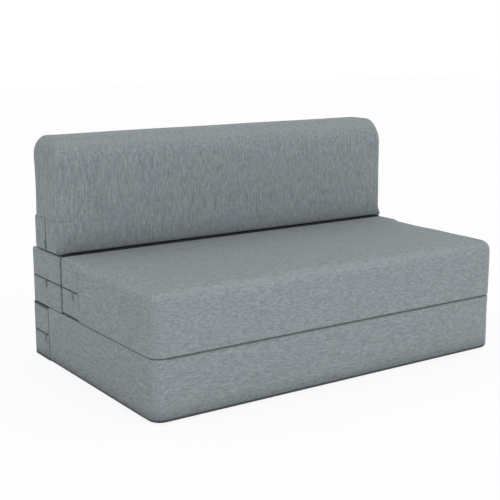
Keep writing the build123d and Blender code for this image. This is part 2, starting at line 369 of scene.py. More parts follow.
def cloth_material(name, orders, contrast, dark, light, sheen=CLOTH_SHEEN, stretch=1):
    """Woven cloth. For each way a face looks, orders says along which axis its streaks run."""
    material, tree, shader = new_material(name)
    shade, height = woven(tree, orders, stretch)
    inputs = {"Value": shade, "From Min": 0.5 - contrast, "From Max": 0.5 + contrast}
    spread = add_node(tree, "ShaderNodeMapRange", inputs).outputs[0]
    finish = add_node(tree, "ShaderNodeGroup", {
        "Colour": colour_between(tree, spread, dark, light),
        "Shade": shade,
        "Edge Wear": carried(tree, "edge_wear"),
        "Seam Shade": carried(tree, "seam_shade"),
    }, node_tree=worn_cloth)
    feed(tree, shader, {
        "Base Color": finish.outputs["Colour"],
        "Roughness": rescaled(tree, shade, *CLOTH_ROUGHNESS),
        "Normal": raised(tree, height, WEAVE_STRENGTH, WEAVE_DEPTH),
        "Specular IOR Level": CLOTH_SHINE,
        "Sheen Weight": sheen,
        "Sheen Roughness": SHEEN_ROUGHNESS,
    })
    return material


slab_cloth = cloth_material("slab_cloth", ACROSS, CLOTH_CONTRAST, CLOTH_DARK, CLOTH_LIGHT)
backrest_cloth = cloth_material(
    "backrest_cloth", UPRIGHT, BACKREST_CONTRAST, BACKREST_DARK, BACKREST_LIGHT, stretch=BACKREST_STRETCH
)
print("cloth:", slab_cloth.name, "and", backrest_cloth.name)

# %% [markdown]
# ## The form of a cushion
# Each cushion is soft at one end and boxy at the other, where its cover is zipped. Its own axes are
# x across, l from the soft end to the zipped one, and t through it. The backrest stands on its zipped
# end, so its l points down and its t points back.
#
# A cube with a bevel can't change its rounding along an edge, so the form is a distance instead:
# three pairs of planes, met by round corners whose radius may vary with l. A grid of quads over the
# box is then drawn in until it lies on that form. The grid has a line on every seam.

# %% Cushions measured on the frame
class Cushion:
    """One cushion: its box and seams read from the frame, its roundings given, in metres."""

    def __init__(self, name, corner, crown, foot, zipped_crown, zipped_foot, end, blend, upright=False):
        self.name, self.upright = name, upright
        self.corner, self.crown, self.foot = corner, crown, foot
        self.zipped_crown, self.zipped_foot = zipped_crown, zipped_foot
        self.end, self.blend = end, blend
        self.strips = ("rear", "front") if upright else ("upper", "lower")
        low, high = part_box(f"{name}_cover")
        self.origin = Vector((0, low.y, high.z if upright else low.z))
        size = self.to_own(np.array([low, high]))
        self.size = size.max(0) - size.min(0)
        chain = self.to_own(np.array(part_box(f"{name}_zip_chain")))
        strip = self.to_own(np.array(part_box(f"{name}_placket_{self.strips[0]}")))
        self.zip_low, self.zip_high = chain[:, 2].min(), chain[:, 2].max()
        self.seam = strip[:, 1].min()
        self.hem_high = strip[:, 2].max()
        self.hem_low = self.size[2] - self.hem_high

    def to_own(self, points):
        """Points of the frame in the cushion's own axes."""
        x, y, z = (np.asarray(points, float) - np.array(self.origin)).T
        return np.stack([x, -z, y] if self.upright else [x, y, z], axis=1)

    def to_frame(self, points):
        """Points in the cushion's own axes, in the frame."""
        x, l, t = np.asarray(points, float).T
        turned = np.stack([x, t, -l] if self.upright else [x, l, t], axis=1)
        return turned + np.array(self.origin)

    def from_side(self, points):
        """How far points are from the nearer side of the box."""
        return self.size[0] / 2 - np.abs(points[:, 0])

    def from_faces(self, points):
        """How far points are from each other face of the box."""
        l, t = points[:, 1], points[:, 2]
        return {"soft_end": l, "zipped_end": self.size[1] - l, "under": t, "over": self.size[2] - t}

    def from_zip(self, points):
        """How far points are above or below the zip."""
        t = points[:, 2]
        return np.maximum(np.maximum(self.zip_low - t, t - self.zip_high), 0)


SHARP = 2.5 * MM
HEM = 5 * MM
END = 8 * MM
FRONT_CORNER = 38 * MM
base = Cushion(
    "base", corner=FRONT_CORNER, crown=5.5 * MM, foot=11 * MM,
    zipped_crown=SHARP, zipped_foot=HEM, end=END, blend=(4 * MM, 4 * MM),
)
seat = Cushion(
    "seat", corner=FRONT_CORNER, crown=38 * MM, foot=SHARP,
    zipped_crown=7 * MM, zipped_foot=SHARP, end=SHARP, blend=(10 * MM, 30 * MM),
)
block = Cushion(
    "rear_block", corner=SHARP, crown=HEM, foot=SHARP,
    zipped_crown=HEM, zipped_foot=SHARP, end=END, blend=(4 * MM, 4 * MM),
)
back = Cushion(
    "backrest", corner=40 * MM, crown=46 * MM, foot=27 * MM,
    zipped_crown=33 * MM, zipped_foot=26 * MM, end=6 * MM, blend=(1.5 * MM, 1.5 * MM), upright=True,
)
CUSHIONS = (base, seat, block, back)
for cushion in CUSHIONS:
    print(cushion.name, "size", np.round(cushion.size / MM, 1), "seam", round(cushion.seam / MM, 1))


# %% Smooth changes
def smooth_step(value, low, high):
    """0 below low, 1 above high, and an even curve between them."""
    share = np.clip((value - low) / (high - low), 0, 1)
    return share * share * (3 - 2 * share)


def smooth_fade(value, low, high):
    """1 below low, 0 above high, and an even curve between them."""
    return 1 - smooth_step(value, low, high)


def between(start, end, share):
    """What lies at a share of the way from one value to another."""
    return start + (end - start) * share


def past_seam(cushion, l, edge):
    """0 before a cushion's seam and 1 past it, with a change as wide as edge on either side of it."""
    return smooth_step(l, cushion.seam - edge, cushion.seam + edge)


def round_meet(a, b, radius):
    """The distance to where two walls meet in a round corner; a and b are negative inside."""
    outside = np.hypot(np.maximum(a + radius, 0), np.maximum(b + radius, 0))
    return np.minimum(np.maximum(a, b), -radius) + outside


# %% [markdown]
# ### What makes each form its own
# Near the sides, the faces past the seam and the front of the block draw in a little, where cloth is
# sewn tight over the foam's edge. The base gets a sharper lower edge behind its front corners, and
# the seat's crown gets tighter towards its sides. The backrest has a broad round ridge, side edges
# that are rounder at the rear than in front, a sharp heel at the foot of the front ones, and a toe
# that rises a little under its front face.

# %% Distance to the form
SLACK_RUN = 60 * MM
DROP_FLAT = 22 * MM
DROP_RUN = 50 * MM
DROPS = {
    "base": {"over": 10 * MM},
    "seat": {"under": 6 * MM},
    "rear_block": {"over": 4 * MM, "soft_end": 9 * MM},
    "backrest": {},
}
LIP_RUN = (5 * MM, 14 * MM)
SIDE_CROWN = 0.8
CROWN_RUN = (45 * MM, 130 * MM)
SIDE_FOOT = 9.5 * MM
FOOT_RUN = (20 * MM, 115 * MM)
TOP_FRONT = 70 * MM
TOP_BACK = 75 * MM
CORNER_RUN = (25 * MM, 80 * MM)
REAR_SHARES = (0.3, 0.7)
HEEL_RUN = 34 * MM
TOE = 2.5 * MM
TOE_RUN = (2 * MM, 50 * MM)


def edge_rounds(cushion, l, from_side):
    """The roundings of the upper and the lower edge, which change past the seam."""
    crown, foot = cushion.crown, cushion.foot
    if cushion is seat:
        crown = crown * between(SIDE_CROWN, 1, smooth_step(from_side, *CROWN_RUN))
    if cushion is base:
        foot = between(foot, SIDE_FOOT, smooth_step(l, *FOOT_RUN))
    before, after = cushion.blend
    zipped = smooth_step(l, cushion.seam - before, cushion.seam + after)
    return between(crown, cushion.zipped_crown, zipped), between(foot, cushion.zipped_foot, zipped)


def form_distance(cushion, points, slack):
    """How far points are outside the cushion's form, drawn in by slack at each face."""
    l, t = points[:, 1], points[:, 2]
    length, thick = cushion.size[1:]
    from_side = cushion.from_side(points)
    tight = smooth_step(l, cushion.seam - SLACK_RUN, cushion.seam)
    side = between(slack["side"], slack["zipped_side"], tight) - from_side
    zipped = past_seam(cushion, l, cushion.blend[0])
    if cushion is base:
        zipped = zipped * smooth_step(length - l, *LIP_RUN)
    near_side = smooth_fade(from_side, DROP_FLAT, DROP_RUN)
    drop = {face: most * near_side for face, most in DROPS[cushion.name].items()}
    soft_end = slack["soft_end"] + drop.get("soft_end", 0) - l
    zipped_end = l - length + slack["zipped_end"]
    over = t - thick + slack["over"] + drop.get("over", 0) * zipped
    under = slack["under"] + drop.get("under", 0) * zipped - t
    crown, foot = edge_rounds(cushion, l, from_side)
    if cushion.upright:
        ridge = round_meet(round_meet(soft_end, under, TOP_FRONT), over, TOP_BACK)
        rearward = smooth_step(t / thick, *REAR_SHARES)
        edge = between(cushion.corner, between(foot, crown, rearward), smooth_step(l, *CORNER_RUN))
        heel = smooth_step(l, length - HEEL_RUN, length) * (1 - rearward)
        toe = TOE * smooth_fade(t, 0, DROP_RUN) * smooth_step(from_side, *TOE_RUN)
        wall = round_meet(side, ridge, between(edge, cushion.end, heel))
        return round_meet(wall, zipped_end + toe, cushion.end)
    plan = round_meet(round_meet(side, soft_end, cushion.corner), zipped_end, cushion.end)
    return round_meet(round_meet(plan, over, crown), under, foot)


# %% Grid over the box
FINE_STEP = 2.6 * MM
COARSE_STEP = 18 * MM
STEP_GROWTH = 0.14
LINE_SAMPLES = 400


def grid_lines(length, marks, fine, coarse):
    """Places of grid lines from 0 to length: exact on the marks, closer near them and the ends."""
    fixed = np.unique(np.round([0.0, *marks, length], 6))
    lines = [0.0]
    for start, stop in zip(fixed[:-1], fixed[1:]):
        s = np.linspace(start, stop, LINE_SAMPLES)
        step = np.minimum(coarse, fine + STEP_GROWTH * np.minimum(s - start, stop - s))
        count = np.concatenate([[0], np.cumsum(np.diff(s) * (1 / step[1:] + 1 / step[:-1]) / 2)])
        steps = max(1, round(count[-1]))
        lines += list(np.interp(np.arange(1, steps + 1) * count[-1] / steps, count, s))
    return np.array(lines)


def box_grid(xs, ls, ts):
    """A closed grid of quads over a box, as its points and its faces, wound outwards."""
    shape = (len(xs), len(ls), len(ts))
    i, j, k = np.indices(shape)
    skin = (i % (shape[0] - 1) == 0) | (j % (shape[1] - 1) == 0) | (k % (shape[2] - 1) == 0)
    number = np.full(shape, -1)
    number[skin] = np.arange(skin.sum())
    points = np.stack([xs[i[skin]], ls[j[skin]], ts[k[skin]]], axis=1)
    faces = []
    for axis in range(3):
        for end in (0, -1):
            side = np.take(number, end, axis=axis)
            quads = np.stack([side[:-1, :-1], side[1:, :-1], side[1:, 1:], side[:-1, 1:]], axis=-1)
            outward = (end == -1) != (axis == 1)
            quads = quads.reshape(-1, 4)
            faces.append(quads if outward else quads[:, ::-1])
    return points, np.concatenate(faces)


def cushion_grid(cushion, l_marks=(), t_marks=(), fine=FINE_STEP, coarse=COARSE_STEP):
    """The grid over a cushion's box in its own axes, with lines on the marks."""
    width, length, thick = cushion.size
    xs = grid_lines(width, (), fine, coarse) - width / 2
    ls = grid_lines(length, l_marks, fine, coarse)
    ts = grid_lines(thick, t_marks, fine, coarse)
    return box_grid(xs, ls, ts)


# %% Draw the grid in
REACH = 74 * MM
HALVINGS = 40


def settle(cushion, points, slack):
    """Draw the points of a box in until they lie on the cushion's form."""
    half_width, length, thick = cushion.size[0] / 2, cushion.size[1], cushion.size[2]
    low = np.array([REACH - half_width, REACH, REACH])
    high = np.array([half_width - REACH, length - REACH, thick - REACH])
    core = np.clip(points, low, high)
    outer, inner = np.zeros(len(points)), np.ones(len(points))
    for _ in range(HALVINGS):
        share = (outer + inner) / 2
        spot = points + (core - points) * share[:, None]
        outside = form_distance(cushion, spot, slack) > 0
        outer = np.where(outside, share, outer)
        inner = np.where(outside, inner, share)
    return points + (core - points) * outer[:, None]


# %% [markdown]
# ## Swelling the covers
# A cover is cut a little smaller than its foam, so the cloth stands out between its seams and pulls
# in along them. That is a small pressure inside a stretched skin, which Blender's cloth solver gives:
# the seams, the zip and the faces that rest on another cushion are pinned, gravity is off, and
# twenty frames are enough. Foam is firm, so the result is scaled down to a few millimetres.
# The mesh is the grid itself instead of a remesh, so that the seams stay on its lines.

# %% Cloth solver
FRAMES = 20
CLOTH_SETTINGS = {
    "quality": 4,
    "use_pressure": True,
    "uniform_pressure_force": 4.0,
    "tension_stiffness": 40,
    "compression_stiffness": 40,
    "shear_stiffness": 20,
    "bending_stiffness": 5,
    "vertex_group_mass": "pinned",
}


def mesh_points(mesh):
    """The points of a mesh as an array."""
    flat = np.empty(len(mesh.vertices) * 3, np.float32)
    mesh.vertices.foreach_get("co", flat)
    return flat.reshape(-1, 3).astype(float)


def new_piece(name, points, faces):
    """A smooth-shaded mesh object in the scene, from arrays of points and of faces."""
    mesh = bpy.data.meshes.new(name)
    mesh.from_pydata([tuple(p) for p in points], [], [tuple(int(v) for v in f) for f in faces])
    mesh.polygons.foreach_set("use_smooth", np.ones(len(mesh.polygons), bool))
    mesh.update()
    piece = bpy.data.objects.new(name, mesh)
    scene.collection.objects.link(piece)
    return piece


def swollen(points, faces, pinned):
    """How each point moves when the closed skin is blown up a little, with some points pinned."""
    skin = new_piece("skin", points, faces)
    group = skin.vertex_groups.new(name="pinned")
    group.add([int(v) for v in np.flatnonzero(pinned)], 1.0, "REPLACE")
    cloth = skin.modifiers.new("cloth", "CLOTH")
    for name, value in CLOTH_SETTINGS.items():
        setattr(cloth.settings, name, value)
    cloth.settings.effector_weights.gravity = 0
    cloth.collision_settings.use_collision = False
    cloth.point_cache.frame_start = 1
    cloth.point_cache.frame_end = FRAMES
    for number in range(1, FRAMES + 1):
        scene.frame_set(number)
    result = skin.evaluated_get(bpy.context.evaluated_depsgraph_get())
    moved = mesh_points(result.data) - points
    bpy.data.objects.remove(skin)
    scene.frame_set(1)
    return moved


# %% Keep the swell small
SWELL_CAP = 1.8 * MM
PULL_IN_CAP = 0.4 * MM
OVERSHOOT = 1.3
LARGE_PERCENT = 98
OUTWARD_RUN = (-0.5, 0.5)
TINY = 1e-12


def capped(moved, normals):
    """Movements scaled so that the largest nearly reach a cap, with a smaller cap inwards."""
    lengths = np.maximum(np.linalg.norm(moved, axis=1), TINY)
    scale = OVERSHOOT * SWELL_CAP / np.percentile(lengths, LARGE_PERCENT)
    outwards = smooth_step((moved * normals).sum(1) / lengths, *OUTWARD_RUN)
    cap = between(PULL_IN_CAP, SWELL_CAP, outwards)
    allowed = cap * np.tanh(lengths * scale / cap)
    return moved * (allowed / lengths)[:, None]


def point_normals(points, faces):
    """Unit normals at the points of a quad mesh."""
    a, b, c, d = (points[faces[:, n]] for n in range(4))
    face_normals = np.cross(c - a, d - b)
    normals = np.zeros_like(points)
    for n in range(4):
        np.add.at(normals, faces[:, n], face_normals)
    return normals / np.maximum(np.linalg.norm(normals, axis=1), TINY)[:, None]


# %% [markdown]
# ### From the skin to a sewn cover
# The swollen skin is subdivided once. Then the seams are pressed in, with small puckers beside them,
# and the whole gets a faint unevenness, as cut foam has. Last, its faces are sorted into the cover,
# the two strips beside the zip, and the zip's own tape. Each becomes a piece, and the cover and the
# strips get the thickness of their cloth.

# %% Seams and the zip's slit
SEAM_DEPTH = {"base": 2.2 * MM, "seat": 0.6 * MM, "rear_block": 0, "backrest": 0.9 * MM}
# Painted shade in the seam grooves, and with LIP_SHADE in the zip's slit at a short lip.
SEAM_SHADE = {"base": 0.75, "seat": 0.12, "rear_block": 0, "backrest": 0.2}
SEAM_REACH = {"base": 12 * MM, "seat": 34 * MM, "rear_block": 12 * MM, "backrest": 44 * MM}
HIDDEN_REACH = 12 * MM
REACH_FADE = 8 * MM
SEAM_WIDTH = 2 * MM
SEAM_EDGE = 1 * MM
RIM_RUN = (4 * MM, 9 * MM)
HEM_DEPTH = 0.4 * MM
HEM_WIDTH = 1.6 * MM
ZIP_DEPTH = 1.3 * MM
ZIP_ROLL = 1.3 * MM
SHORT_LIP = 20 * MM
LIP_SHADE = 0.6


def valley(distance, width):
    """1 on a line, falling off smoothly beside it."""
    return np.exp(-((distance / width) ** 2))


def near_rim(from_side, from_end):
    """1 near a side or an end, and 0 further in."""
    return smooth_fade(np.minimum(from_side, from_end), *RIM_RUN)


def seam_press(cushion, own):
    """How far each point is pressed in by the seams and the zip, and how dark the painted shade of the
    seam and the slit is there.
    """
    l, t = own[:, 1], own[:, 2]
    length, thick = cushion.size[1:]
    from_side = cushion.from_side(own)
    zipped = past_seam(cushion, l, SEAM_EDGE)
    open_face = (t < thick / 2) if cushion.upright else (t > thick / 2)
    reach = np.where(open_face, SEAM_REACH[cushion.name], HIDDEN_REACH)
    on_seam = valley(l - cushion.seam, SEAM_WIDTH) * smooth_fade(from_side, reach - REACH_FADE, reach)
    on_wall = zipped * near_rim(from_side, length - l)
    on_lip = 0
    if cushion.seam < SHORT_LIP:
        on_lip = (1 - zipped) * near_rim(from_side, l)
    on_zip = valley(cushion.from_zip(own), ZIP_ROLL)
    depth = SEAM_DEPTH[cushion.name] * on_seam
    for hem in (cushion.hem_low, cushion.hem_high):
        depth = np.maximum(depth, HEM_DEPTH * valley(t - hem, HEM_WIDTH) * on_wall)
    depth = np.maximum(depth, ZIP_DEPTH * on_zip * np.maximum(on_wall, on_lip))
    shade = np.maximum(SEAM_SHADE[cushion.name] * on_seam, LIP_SHADE * on_zip * on_lip)
    return depth, shade


# %% Pinch beside the zip
ZIP_PINCH = 0.38
PINCH_REACH = 8 * MM
FLAT_EDGE = 2 * MM


def zip_pinch(cushion, own):
    """How far the edges of the cloth are drawn together over the zip."""
    l, t = own[:, 1], own[:, 2]
    from_middle = t - (cushion.zip_low + cushion.zip_high) / 2
    pinch = ZIP_PINCH * past_seam(cushion, l, FLAT_EDGE)
    pinch = pinch * near_rim(cushion.from_side(own), cushion.size[1] - l)
    pinch = pinch * smooth_fade(np.abs(from_middle), cushion.zip_high - cushion.zip_low, PINCH_REACH)
    return from_middle * pinch


# %% [markdown]
# ### Painted shade and creases
# The foot of the base, the foot of the backrest and the angle behind the seat are painted darker, as
# painted shade, and a painted dark gap shows at the top rear corners of the base. All of it fades from
# one face or edge, so it is worked out from how far each point is from there, and goes in the same value
# as the painted shade of the seams.
# The creases are waves in seeded directions, drawn out along the cushion and strong only at a seam.

# %% Painted shade
# Painted shade: a painted contact shadow along the foot of the base, a painted dark gap at its top rear
# corners, and painted shade at the foot of the backrest and in the angle behind the seat.
FOOT_SHADE = 0.88
FOOT_FADE = 16 * MM
FOOT_SHADOW_LINE = 0.85
FOOT_EDGE = (8.5 * MM, 13.5 * MM)
GAP_SHADE = 0.95
GAP_HEIGHT = (6 * MM, 12 * MM)
GAP_DEPTH = (3 * MM, 8 * MM)
GAP_START = (1 * MM, 4 * MM)
GAP_STOP = (8 * MM, 14 * MM)
HEEL_SHADE = 0.55
HEEL_FADE = 30 * MM
HEEL_FRONT = (5 * MM, 30 * MM)
SEAT_ANGLE_SHADE = 0.18
ANGLE_FADE = 90 * MM
ANGLE_TOP = (8 * MM, 30 * MM)
ANGLE_INLAND = (0, 150 * MM)


def painted_shade_at(cushion, own):
    """How dark the painted shade makes the cloth at each point."""
    from_side = cushion.from_side(own)
    gaps = cushion.from_faces(own)
    from_end = gaps["zipped_end"]
    if cushion is base:
        foot_shade = FOOT_SHADE * np.exp(-gaps["under"] / FOOT_FADE)
        line = FOOT_SHADOW_LINE * smooth_fade(gaps["under"], *FOOT_EDGE)
        gap = smooth_fade(gaps["over"], *GAP_HEIGHT) * smooth_fade(from_side, *GAP_DEPTH)
        gap = gap * smooth_step(from_end, *GAP_START) * smooth_fade(from_end, *GAP_STOP)
        return np.maximum(np.maximum(foot_shade, line), GAP_SHADE * gap)
    if cushion is seat:
        top = smooth_fade(gaps["over"], *ANGLE_TOP) * smooth_step(from_side, *ANGLE_INLAND)
        return SEAT_ANGLE_SHADE * top * np.exp(-from_end / ANGLE_FADE)
    if cushion is back:
        return HEEL_SHADE * smooth_fade(gaps["under"], *HEEL_FRONT) * np.exp(-from_end / HEEL_FADE)
    return np.zeros(len(own))


# %% Creases
WAVES = 9
WAVE_SPREAD = (0.6, 1.7)
CREASE_HEIGHT = 0.5 * MM
CREASE_WAVE = 16 * MM
CREASE_DRAWN = np.array([1, 0.25, 1])
CREASE_REACH = 12 * MM
CREASE_SIDE = (8 * MM, 20 * MM)
CREASE_FROM_ZIP = (6 * MM, 14 * MM)


def ripple(points, wavelength, seed):
    """A smooth unevenness between about -1 and 1, made of waves in seeded directions."""
    draw = np.random.default_rng(seed)
    directions = draw.normal(size=(WAVES, 3))
    directions /= np.linalg.norm(directions, axis=1)[:, None]
    lengths = wavelength * draw.uniform(*WAVE_SPREAD, WAVES)
    phases = draw.uniform(0, 2 * math.pi, WAVES)
    angles = points @ (directions * (2 * math.pi / lengths)[:, None]).T + phases
    return np.sin(angles).sum(1) / math.sqrt(WAVES)


def puckers(cushion, own, seed):
    """Small creases that run out from the seams, and not beside the zip, which keeps the cloth flat."""
    fade = valley(own[:, 1] - cushion.seam, CREASE_REACH)
    fade = fade * smooth_fade(cushion.from_side(own), *CREASE_SIDE)
    fade = fade * smooth_step(cushion.from_zip(own), *CREASE_FROM_ZIP)
    return CREASE_HEIGHT * ripple(own * CREASE_DRAWN, CREASE_WAVE, seed) * fade


# %% Sorting the faces
COVER, STRIP_HIGH, STRIP_LOW, TAPE = range(4)
CLOSE = 1e-6


def face_regions(cushion, points, faces):
    """Which piece each face of the box grid belongs to."""
    middles = points[faces].mean(1)
    l, t = middles[:, 1], middles[:, 2]
    on_wall = (cushion.from_side(middles) < CLOSE) | (cushion.size[1] - l < CLOSE)
    boxing = on_wall & (l > cushion.seam) & (t > cushion.hem_low) & (t < cushion.hem_high)
    region = np.where(t > cushion.zip_high, STRIP_HIGH, np.where(t < cushion.zip_low, STRIP_LOW, TAPE))
    return np.where(boxing, region, COVER)


def subdivided(points, faces, region):
    """One Catmull-Clark subdivision, with each new face in its old face's region."""
    skin = new_piece("skin", points, faces)
    skin.data.attributes.new("region", "INT", "FACE").data.foreach_set("value", region.astype(np.int32))
    skin.modifiers.new("smooth", "SUBSURF").levels = 1
    fine = skin.evaluated_get(bpy.context.evaluated_depsgraph_get()).to_mesh()
    fine_points = mesh_points(fine)
    corners = np.empty(len(fine.loops), np.int32)
    fine.loops.foreach_get("vertex_index", corners)
    fine_region = np.empty(len(fine.polygons), np.int32)
    fine.attributes["region"].data.foreach_get("value", fine_region)
    bpy.data.objects.remove(skin)
    return fine_points, corners.reshape(-1, 4), fine_region


# %% [markdown]
# ## Making the four cushions
# Each face of a cushion is drawn in by its own slack before it swells: none where it rests on a
# neighbour or on the floor, a little where it is free. The cap keeps the free faces within a few
# millimetres of the frame, because the cushions meet face to face when the bed is open.
# The top of the backrest has a slack below nothing: its rounding starts from a plane above the box,
# so that the ridge comes out fuller, and the grid still ends at the box.

# %% Slack and pins
FREE = 0.5 * MM
FRONT_SLACK = 1 * MM
RIDGE_SLACK = -5.5 * MM
SNUG = dict.fromkeys(("side", "zipped_side", "soft_end", "zipped_end", "under", "over"), 0)
SLACK = {
    "base": SNUG | {"side": FREE, "soft_end": FRONT_SLACK},
    "seat": SNUG | {"side": FREE, "soft_end": FRONT_SLACK, "over": FREE},
    "rear_block": SNUG | {"side": FREE},
    "backrest": SNUG | {"side": FREE, "soft_end": RIDGE_SLACK, "under": FREE, "over": FREE},
}
RESTING = {
    "base": ("under", "over"),
    "seat": ("under", "zipped_end"),
    "rear_block": ("under", "over", "soft_end"),
    "backrest": ("zipped_end",),
}


def pinned_points(cushion, grid):
    """The grid points that stay where they are: seams, zip edges and resting faces."""
    l, t = grid[:, 1], grid[:, 2]
    gaps = cushion.from_faces(grid)
    pinned = np.zeros(len(grid), bool)
    for face in RESTING[cushion.name]:
        pinned |= gaps[face] < CLOSE
    wall = (cushion.from_side(grid) < CLOSE) | (gaps["zipped_end"] < CLOSE)
    pinned |= wall & (np.abs(l - cushion.seam) < CLOSE)
    for level in (cushion.hem_low, cushion.hem_high, cushion.zip_low, cushion.zip_high):
        pinned |= wall & (l > cushion.seam) & (np.abs(t - level) < CLOSE)
    return pinned


# %% Swollen and sewn skins
THROUGH_SWELL = {"base": 1, "seat": 1.7, "rear_block": 1, "backrest": 3}
ZIPPED_SWELL = 0.3
UNEVEN = 0.5 * MM
UNEVEN_WAVE = 160 * MM
FREE_RUN = (1 * MM, 30 * MM)


def swell(cushion, grid, own, faces):
    """How each point of a skin moves: most through the cushion, and little past the seam."""
    moved = swollen(own, faces, pinned_points(cushion, grid))
    moved = capped(moved, point_normals(own, faces))
    moved[:, 2] *= THROUGH_SWELL[cushion.name]
    zipped = smooth_step(grid[:, 1], cushion.seam - SLACK_RUN, cushion.seam)
    return moved * between(1, ZIPPED_SWELL, zipped)[:, None]


def unevenness(cushion, own, seed):
    """How far the cloth stands out, on the faces that rest on nothing."""
    gaps = cushion.from_faces(own)
    free = np.ones(len(own))
    for face in RESTING[cushion.name]:
        free = free * smooth_step(gaps[face], *FREE_RUN)
    rise = UNEVEN * ripple(own, UNEVEN_WAVE, seed) * (1 - past_seam(cushion, own[:, 1], FLAT_EDGE))
    return free * (rise + puckers(cushion, own, seed + 1))


def dressed_skin(cushion, seed):
    """The swollen, sewn skin of a cushion: its points, faces, regions and how dark it is."""
    levels = (cushion.hem_low, cushion.zip_low, cushion.zip_high, cushion.hem_high)
    grid, faces = cushion_grid(cushion, (cushion.seam,), levels)
    region = face_regions(cushion, grid, faces)
    own = settle(cushion, grid, SLACK[cushion.name])
    own = own + swell(cushion, grid, own, faces)
    own, faces, region = subdivided(own, faces, region)
    depth, shade = seam_press(cushion, own)
    rise = unevenness(cushion, own, seed) - depth
    sewn = own + point_normals(own, faces) * rise[:, None]
    sewn[:, 2] -= zip_pinch(cushion, own)
    return sewn, faces, region, np.maximum(shade, painted_shade_at(cushion, own))


# %% Pieces with thickness
CLOTH_THICK = 1.2 * MM
FACING_POWER = 4
# Painted highlight on rounded edges that look up, strongest where the weave is lighter.
HIGHLIGHT_STRENGTH = 0.34
HIGHLIGHT_SLOPE = (0.05, 0.4)


def carry_cloth(piece, seam_shade):
    """Give a mesh the values that the cloth material reads: a painted highlight where a rounded edge
    looks up.
    """
    mesh = piece.data
    points = mesh_points(mesh)
    normals = np.empty(len(mesh.vertices) * 3, np.float32)
    mesh.vertices.foreach_get("normal", normals)
    normals = normals.reshape(-1, 3)
    facing = np.abs(normals) ** FACING_POWER
    facing /= facing.sum(1)[:, None]
    highlight = HIGHLIGHT_STRENGTH * (1 - (normals ** 2).max(1)) * smooth_step(normals[:, 2], *HIGHLIGHT_SLOPE)
    for name, values in (("cloth_place", points), ("cloth_facing", facing)):
        layer = mesh.attributes.new(name, "FLOAT_VECTOR", "POINT")
        layer.data.foreach_set("vector", values.astype(np.float32).ravel())
    for name, values in (("seam_shade", seam_shade), ("edge_wear", highlight)):
        layer = mesh.attributes.new(name, "FLOAT", "POINT")
        layer.data.foreach_set("value", np.broadcast_to(values, len(points)).astype(np.float32))


def thicken(piece, thickness, offset):
    """Give a sheet its thickness: inwards for an offset of -1, to both sides for 0."""
    thick = piece.modifiers.new("thickness", "SOLIDIFY")
    thick.thickness = thickness
    thick.offset = offset


def region_piece(name, points, faces, chosen):
    """A piece made of some of the faces of a skin, and which of the skin's points it uses."""
    used, renumbered = np.unique(faces[chosen], return_inverse=True)
    return new_piece(name, points[used], renumbered.reshape(-1, 4)), used


def dress(piece, body, slot, material, *nodes):
    """Give a piece its material (slot is not used), stand it in for CAD nodes and let it ride on a body.
    """
    piece.data.materials.append(material)
    if nodes:
        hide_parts(*nodes)
    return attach(piece, body)


def make_cover(cushion, seed, material):
    """The cover, its two zipped strips and the zip tape of one cushion."""
    own, faces, region, shade = dressed_skin(cushion, seed)
    points = cushion.to_frame(own)
    name = cushion.name
    rows = [(COVER, f"{name}_cover", "cover_cloth")]
    rows.append((STRIP_HIGH, f"{name}_placket_{cushion.strips[0]}", "boxing_cloth"))
    rows.append((STRIP_LOW, f"{name}_placket_{cushion.strips[1]}", "boxing_cloth"))
    pieces = []
    for number, node, slot in rows:
        piece, used = region_piece(f"{node}_sewn", points, faces, region == number)
        carry_cloth(piece, shade[used])
        thicken(piece, CLOTH_THICK, -1)
        dress(piece, name, slot, material, node)
        pieces.append(piece)
    tape, _ = region_piece(f"{name}_zip_tape", points, faces, region == TAPE)
    print(name, "skin:", len(faces), "faces")
    return pieces, tape


# %% Sew them
FIRST_SEED = 3
SEED_STEP = 10

tapes = {}
for number, cushion in enumerate(CUSHIONS):
    cloth = backrest_cloth if cushion.upright else slab_cloth
    pieces, tapes[cushion.name] = make_cover(cushion, SEED_STEP * number + FIRST_SEED, cloth)

# %% [markdown]
# ## The foam inside
# Every cushion is one block of foam, a little smaller than its cover. It stays hidden while the
# cover is closed, but it is what fills the cover, so it is built too: the same form, drawn further
# in, on a wider grid. Cut foam shows its open cells, so the material is a fine net of cells.

# %% Foam material
FOAM_DARK = (0.62, 0.57, 0.42, 1)
FOAM_LIGHT = (0.86, 0.82, 0.68, 1)
FOAM_ROUGHNESS = 0.95
CELL_SIZE = 2.5 * MM
CELL_STRENGTH = 0.6
CELL_DEPTH = 0.4 * MM


def own_place(tree):
    """The place on a piece in its own axes, in metres."""
    return add_node(tree, "ShaderNodeTexCoord").outputs["Object"]


foam_material, tree, shader = new_material("foam_cells")
inputs = {"Vector": own_place(tree), "Scale": 1 / CELL_SIZE}
cells = add_node(tree, "ShaderNodeTexVoronoi", inputs).outputs["Distance"]
feed(tree, shader, {
    "Base Color": colour_between(tree, cells, FOAM_DARK, FOAM_LIGHT),
    "Roughness": FOAM_ROUGHNESS,
    "Normal": raised(tree, cells, CELL_STRENGTH, CELL_DEPTH),
})
print("foam cells:", CELL_SIZE / MM, "mm")

# %% Foam cores
FOAM_INSET = 9 * MM
FOAM_STEP = 40 * MM
FOAM_FINE_STEP = 7 * MM


def make_foam(cushion):
    """The block of foam in a cover."""
    grid, faces = cushion_grid(cushion, fine=FOAM_FINE_STEP, coarse=FOAM_STEP)
    own = settle(cushion, grid, dict.fromkeys(SNUG, FOAM_INSET))
    foam = new_piece(f"{cushion.name}_foam_core", cushion.to_frame(own), faces)
    return dress(foam, cushion.name, "foam", foam_material, f"{cushion.name}_foam")


for cushion in CUSHIONS:
    foam = make_foam(cushion)
    print(foam.name, len(foam.data.polygons), "faces")

